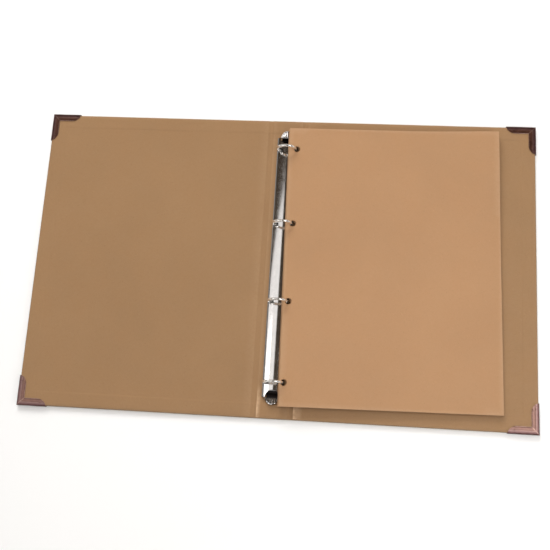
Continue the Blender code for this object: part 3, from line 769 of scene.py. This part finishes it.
def housing_piece():
    """Arched chrome cover with a round notch at each end and a window for each half ring."""
    flat, start, bend, radius = shoulder()
    wall = arch(flat, HOUSING_HIGH.x, HOUSING_HIGH.z) - radius * math.cos(start) - HOUSING_LOW.z
    reach = flat + bend + wall
    length = HOUSING_HIGH.y
    outline = []
    for end in (-1, 1):
        outline.append((end * reach, end * length))
        for k in range(31):
            turn = math.pi * k / 30
            outline.append((end * NOTCH_RADIUS * math.cos(turn),
                            end * (length - NOTCH_RADIUS * math.sin(turn))))
        outline.append((end * -reach, end * length))
    outline = resample(np.array(outline), 1.6 * MM)
    holes = []
    for y in RING_YS:
        for side in (-1, 1):
            x0, x1 = sorted((side * WINDOW_INNER, side * WINDOW_OUTER))
            holes.append(rounded_box_loop(x0, y - WINDOW_HALF, x1, y + WINDOW_HALF, 0.8 * MM))
    plan, triangles = plan_triangles(outline, holes, 0.75 * MM, 1.8 * MM)
    upper, lower = [], []
    for u, y in plan:
        x, z, nx, nz = housing_section(u)
        upper.append((x, y, z))
        lower.append((x - nx * HOUSING_METAL, y, z - nz * HOUSING_METAL))
    verts, faces = shell(plan, triangles, np.array(upper), np.array(lower))
    piece = add_piece("ring_housing_cover", verts, faces, chrome_material, 42)
    soften_edges(piece, 0.12 * MM)
    return piece


def half_ring_piece(label, side, number, y):
    """A bent wire with a rounded tip and a flattened, chamfered end in its blade."""
    tip_gap = 0.15 * MM
    first = math.acos(tip_gap / RING_RADIUS)
    last = math.radians(RING_END_DEG)
    route = [(RING_RADIUS * math.cos(a), RING_AXIS_Z + RING_RADIUS * math.sin(a))
             for a in np.linspace(first, last, 44)]
    route += list(RING_TAIL)
    route = np.array(route)
    along = np.gradient(route, axis=0)
    along /= np.linalg.norm(along, axis=1)[:, None]
    sides = 20
    rings = [(route[0], WIRE_RADIUS - 0.35 * MM, along[0]),
             (route[0] + along[0] * 0.12 * MM, WIRE_RADIUS - 0.12 * MM, along[0]),
             (route[0] + along[0] * 0.34 * MM, WIRE_RADIUS, along[0])]
    rings += [(spot, WIRE_RADIUS, heading) for spot, heading in zip(route[1:-1], along[1:-1])]
    rings += [(route[-1] - along[-1] * 0.2 * MM, WIRE_RADIUS, along[-1]),
              (route[-1], WIRE_RADIUS - 0.2 * MM, along[-1])]
    verts, faces = [], []
    for (px, pz), radius, (tx, tz) in rings:
        for k in range(sides):
            turn = 2 * math.pi * k / sides
            out, over = radius * math.cos(turn), radius * math.sin(turn)
            verts.append((side * (px + tz * out), y + over, pz - tx * out))
    for r in range(len(rings) - 1):
        for k in range(sides):
            a, b = r * sides + k, r * sides + (k + 1) % sides
            quad = (a, b, b + sides, a + sides)
            faces.append(quad if side > 0 else quad[::-1])
    front = list(range(sides))
    back = [(len(rings) - 1) * sides + k for k in range(sides)]
    faces.append(tuple(front[::-1]) if side > 0 else tuple(front))
    faces.append(tuple(back) if side > 0 else tuple(back[::-1]))
    return add_piece(f"ring_wire_{label}_{number}", verts, faces, wire_material, 40)


def lever_piece(end, label):
    """Thumb lever: ribbed round tab that turns up, a low neck and the barrel it turns on."""
    pivot = JOINTS[f"lever_{label}_press"]["pos_m"]
    pivot_y, pivot_z = abs(pivot[1]), pivot[2]
    tab_y = LEVER_TAB_AT
    loop = [(LEVER_NECK_HALF, tab_y), (LEVER_NECK_HALF, -LEVER_NECK_BACK),
            (-LEVER_NECK_HALF, -LEVER_NECK_BACK), (-LEVER_NECK_HALF, tab_y)]
    for k in range(33):
        turn = math.pi * (1 - k / 32)
        loop.append((LEVER_TAB_RADIUS * math.cos(turn), tab_y + LEVER_TAB_RADIUS * math.sin(turn)))
    plan, triangles = plan_triangles(resample(np.array(loop), 0.6 * MM), [], 0.42 * MM, 0.5 * MM)
    x, y = plan[:, 0], plan[:, 1]
    reach = (y - tab_y) / LEVER_TAB_RADIUS
    rise = LEVER_TIP_RISE * np.clip(reach, 0, 1) ** 1.15
    from_rim = LEVER_TAB_RADIUS - np.hypot(x, y - tab_y)
    field = smoothstep(0.08, 0.3, reach) * smoothstep(0.5 * MM, 1.4 * MM, from_rim)
    fan = 2 * math.pi * x / RIB_PITCH * (1 - 0.25 * reach)
    ribs = RIB_HEIGHT * field * (0.5 + 0.5 * np.cos(fan))
    roll = 0.35 * MM * smoothstep(1.0 * MM, 0.2 * MM, from_rim) * smoothstep(-0.05, 0.2, reach)
    low = pivot_z - LEVER_METAL / 2 + rise
    upper = np.stack([x, end * (pivot_y + y), low + LEVER_METAL + ribs - roll], axis=1)
    lower = np.stack([x, end * (pivot_y + y), low + 0.5 * ribs], axis=1)
    verts, faces = shell(plan, triangles, upper, lower)
    if end < 0:
        faces = [f[::-1] for f in faces]
    # Painted shade: the neck under the housing, the valleys between the ribs and the whole barrel are
    # darkened towards near black.
    neck = smoothstep(0.9 * MM, -0.1 * MM, y - tab_y)
    valley = 0.55 * field * (1 - ribs / RIB_HEIGHT)
    verts = [tuple(v) for v in verts]
    start, sides = len(verts), 24
    ends = ((-BARREL_HALF, 0.8), (-BARREL_HALF + 0.2 * MM, 1.0),
            (BARREL_HALF - 0.2 * MM, 1.0), (BARREL_HALF, 0.8))
    painted_shade = list(np.maximum(neck, valley)) * 2 + [1.0] * (len(ends) * sides)
    for bx, share in ends:
        for k in range(sides):
            turn = 2 * math.pi * k / sides
            verts.append((bx, end * pivot_y + share * BARREL_RADIUS * math.cos(turn),
                          pivot_z + share * BARREL_RADIUS * math.sin(turn)))
    for r in range(len(ends) - 1):
        for k in range(sides):
            a, b = start + r * sides + k, start + r * sides + (k + 1) % sides
            faces.append((a, b, b + sides, a + sides))
    faces.append(tuple(start + k for k in range(sides))[::-1])
    faces.append(tuple(start + (len(ends) - 1) * sides + k for k in range(sides)))
    piece = add_piece(f"thumb_lever_{label}", verts, faces, lever_material, 40, {"painted_shade": painted_shade})
    soften_edges(piece, 0.1 * MM)
    return piece


def rivet_piece(label):
    """Rivet with a low domed head under the spine and a chamfered shank."""
    low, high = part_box(f"spine_rivet_{label}")
    centre_y = (low.y + high.y) / 2
    head = (high.x - low.x) / 2
    under = low.z + RIVET_HEAD_THICKNESS
    profile = [(0.0, high.z), (RIVET_SHANK - 0.3 * MM, high.z), (RIVET_SHANK, high.z - 0.3 * MM),
               (RIVET_SHANK, under), (head - 0.1 * MM, under)]
    for k in range(9):
        turn = math.pi / 2 * k / 8
        profile.append((head * math.cos(turn) ** 0.8, low.z + RIVET_DOME * (1 - math.sin(turn))))
    sides = 48
    verts, faces = [], []
    for radius, z in profile:
        radius = max(radius, 0.02 * MM)
        for k in range(sides):
            turn = 2 * math.pi * k / sides
            verts.append((radius * math.cos(turn), centre_y + radius * math.sin(turn), z))
    for r in range(len(profile) - 1):
        for k in range(sides):
            a, b = r * sides + k, r * sides + (k + 1) % sides
            faces.append((b, a, a + sides, b + sides))
    faces.append(tuple(range(sides)))
    faces.append(tuple((len(profile) - 1) * sides + k for k in range(sides))[::-1])
    return add_piece(f"spine_rivet_{label}_cap", verts, faces, nickel_material, 35)


def shade_plate_piece():
    """Thin near-black plate between the spine's lining and the housing, seen through the notches: painted
    shade that stands for the deep shadow there.
    """
    half = HOUSING_HIGH.x - SHADE_PLATE_INSET_X
    length = HOUSING_HIGH.y - SHADE_PLATE_INSET_Y
    outline = resample(rounded_box_loop(-half, -length, half, length, 2.0 * MM), 4 * MM)
    holes = [circle_loop(0, sign * (RIVET_LOW.y + RIVET_HIGH.y) / 2, 2.2 * MM, 24) for sign in (1, -1)]
    plan, triangles = plan_triangles(outline, holes, 3 * MM, 4 * MM)
    level = np.full(len(plan), TOP_Z + SHADE_PLATE_CLEARANCE)
    upper = np.column_stack([plan, level])
    lower = np.column_stack([plan, level - SHADE_PLATE_THICKNESS])
    verts, faces = shell(plan, triangles, upper, lower)
    return add_piece("notch_shade_plate", verts, faces, shade_plate_material, 40)


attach(shade_plate_piece(), "spine")
dress(housing_piece(), ["ring_housing"], "spine")
for label, side in (("left", -1), ("right", 1)):
    for number, y in enumerate(RING_YS, start=1):
        wire = half_ring_piece(label, side, number, y)
        dress(wire, [f"half_ring_{label}_{number}"], f"ring_half_{label}")
    blade = frame["nodes"][f"ring_blade_{label}"]
    blade.data.materials.clear()
    blade.data.materials.append(steel_material)
    soften_edges(blade, 0.1 * MM)
for label, end in (("top", 1), ("bottom", -1)):
    dress(lever_piece(end, label), [f"lever_{label}"], f"lever_{label}")
    dress(rivet_piece(label), [f"spine_rivet_{label}"], "spine")


# ---------------------------------------------------------------- leaves

def leaf_sheet(index):
    """A punched sheet that slopes over the housing down onto the back cover, with a lifted outer corner."""
    low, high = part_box(f"leaf_{index + 1}")
    inner_x = low.x
    spine_z = high.z
    slope = (high.z - low.z) / LEAF_WIDTH
    rng = np.random.default_rng(20 + index)
    is_top = index == LEAF_COUNT - 1
    spread = rng.uniform(-0.03, 0.03)
    turn = math.radians(LEAF_TURN_DEG + (0.0 if is_top else spread))
    shift = LEAF_SHIFT - 0.04 * MM * (LEAF_COUNT - 1 - index)
    square = np.array([(0, -LEAF_HEIGHT / 2), (LEAF_WIDTH, -LEAF_HEIGHT / 2),
                       (LEAF_WIDTH, LEAF_HEIGHT / 2), (0, LEAF_HEIGHT / 2)])
    square = square @ np.array([[math.cos(turn), math.sin(turn)], [-math.sin(turn), math.cos(turn)]])
    outline = resample(square + np.array([shift, 0]), LEAF_MESH_STEP)
    holes = [circle_loop(LEAF_HOLE_IN, y, LEAF_HOLE_RADIUS, 36) for y in RING_YS]
    plan, triangles = plan_triangles(outline, holes, LEAF_MESH_STEP, LEAF_MESH_STEP)
    u, v = plan[:, 0], plan[:, 1]
    share = u / LEAF_WIDTH
    sag = 0.4 + 0.6 * smoothstep(0.02, 0.3, share)
    sink = LEAF_SINK * np.sin(math.pi * np.clip(share, 0, 1)) * sag
    level = spine_z - slope * u * 0.97 - sink
    lift = TOP_LEAF_LIFT if is_top else 0.0
    curl = smoothstep(0.55, 1.0, share) * smoothstep(-0.01, LEAF_HEIGHT / 2, v)
    level += lift * curl ** 1.5
    level += 0.04 * MM * np.sin(23 * u + 17 * v + rng.uniform(0, 6))
    x, y = inner_x + u, v
    upper = np.stack([x, y, level], axis=1)
    lower = np.stack([x, y, level - LEAF_PAPER], axis=1)
    verts, faces = shell(plan, triangles, upper, lower)
    border = distance_to_loop(plan, outline)
    wear_and_highlight = 0.35 * np.exp(-(border / (0.6 * MM)) ** 2)
    return add_piece(f"leaf_sheet_{index + 1}", verts, faces, leaf_paper, 40,
                     {"wear_and_highlight": np.concatenate([wear_and_highlight, wear_and_highlight])})


for index in range(LEAF_COUNT):
    dress(leaf_sheet(index), [f"leaf_{index + 1}"], f"leaf_{index + 1}")


# ---------------------------------------------------------------- floor, light, camera

FLOOR_HALF = 3.0
FLOOR_POINTS = 13
WHITE_WARM = (1.0, 0.97, 0.96)

# (name, place, aim, width, height, watts, colour, lights surfaces, shows in reflections)
LIGHTS = (
    ("overhead", (0.1, 0.05, 1.7), (0.0, 0.0, 0), 2.0, 1.6, 22.0, (1.0, 0.995, 0.985), True, False),
    ("window_north", (-0.5, 1.7, 1.25), (0.0, 0.0, 0), 1.6, 0.9, 36.0, (1.0, 0.99, 0.97), True, False),
    ("fill_right", (0.75, -0.60, 0.60), (0.15, -0.1, 0), 0.5, 0.5, 3.5, (1.0, 0.985, 0.96), True, False),
    ("card_low_right", (0.40, -0.12, 0.5), (0.40, -0.12, 0), 0.3, 0.3, 2.1, WHITE_WARM, False, True),
    ("card_low_left", (-0.46, -0.12, 0.5), (-0.46, -0.12, 0), 0.3, 0.3, 0.6, WHITE_WARM, False, True),
    ("card_left", (-1.38, -0.18, 1.6), (-1.38, -0.18, 0), 2.6, 1.6, 12.0, (1.0, 0.98, 0.97), False, True),
)

CAMERA_LENS = 51.84
CAMERA_PLACE = Vector((0.0606, -0.1873, 0.7812))
CAMERA_RIGHT = Vector((0.99572, 0.06028, -0.07011))
CAMERA_UP = Vector((-0.04322, 0.97375, 0.22346))
CAMERA_BACK = Vector((0.08174, -0.21947, 0.97219))


def floor_piece():
    """A plain pale sweep under the object."""
    span = np.linspace(-FLOOR_HALF, FLOOR_HALF, FLOOR_POINTS)
    px, py = np.meshgrid(span, span)
    verts = np.stack([px, py, np.zeros_like(px)], axis=-1).reshape(-1, 3)
    made, tree, shader = new_material("floor_paper")
    tint = remap(tree, noise(tree, object_coords(tree), 3.0, 2.0, 0.5), 0.3, 0.7)
    tree.links.new(mix(tree, tint, (0.93, 0.93, 0.93), (0.95, 0.95, 0.95)), shader.inputs["Base Color"])
    shader.inputs["Roughness"].default_value = 0.9
    shader.inputs["Specular IOR Level"].default_value = 0.1
    piece = add_piece("floor", verts, grid_faces(FLOOR_POINTS, FLOOR_POINTS), made)
    return piece


def area_light(name, place, aim, width, height, watts, colour, diffuse, glossy):
    """A rectangular light that the camera can't see, for surfaces, for reflections or for both."""
    data = bpy.data.lights.new(name, "AREA")
    data.shape = "RECTANGLE"
    data.size = width
    data.size_y = height
    data.energy = watts
    data.color = colour
    lamp = bpy.data.objects.new(name, data)
    lamp.location = place
    lamp.rotation_euler = (Vector(aim) - Vector(place)).to_track_quat("-Z", "Y").to_euler()
    lamp.visible_diffuse = diffuse
    lamp.visible_glossy = glossy
    lamp.visible_camera = False
    bpy.context.scene.collection.objects.link(lamp)


floor_piece()
for light in LIGHTS:
    area_light(*light)

world = bpy.data.worlds.new("studio")
world.use_nodes = True
sky = world.node_tree
direction = node(sky, "ShaderNodeTexCoord").outputs["Generated"]
upward = node(sky, "ShaderNodeSeparateXYZ", {"Vector": direction}).outputs["Z"]
tint = mix(sky, remap(sky, upward, 0.10, 0.42), (0.60, 0.58, 0.56), (0.055, 0.040, 0.028))
sky.links.new(tint, sky.nodes["Background"].inputs["Color"])
sky.nodes["Background"].inputs["Strength"].default_value = 1.0
bpy.context.scene.world = world
bpy.context.scene.view_settings.view_transform = "Standard"

camera_data = bpy.data.cameras.new("camera")
camera_data.lens = CAMERA_LENS
camera_data.sensor_width = 36.0
camera_data.clip_start = 0.01
camera_data.clip_end = 20.0
camera = bpy.data.objects.new("camera", camera_data)
turned = Matrix((CAMERA_RIGHT, CAMERA_UP, CAMERA_BACK)).transposed().to_4x4()
turned.translation = CAMERA_PLACE
camera.matrix_world = turned
bpy.context.scene.collection.objects.link(camera)
bpy.context.scene.camera = camera
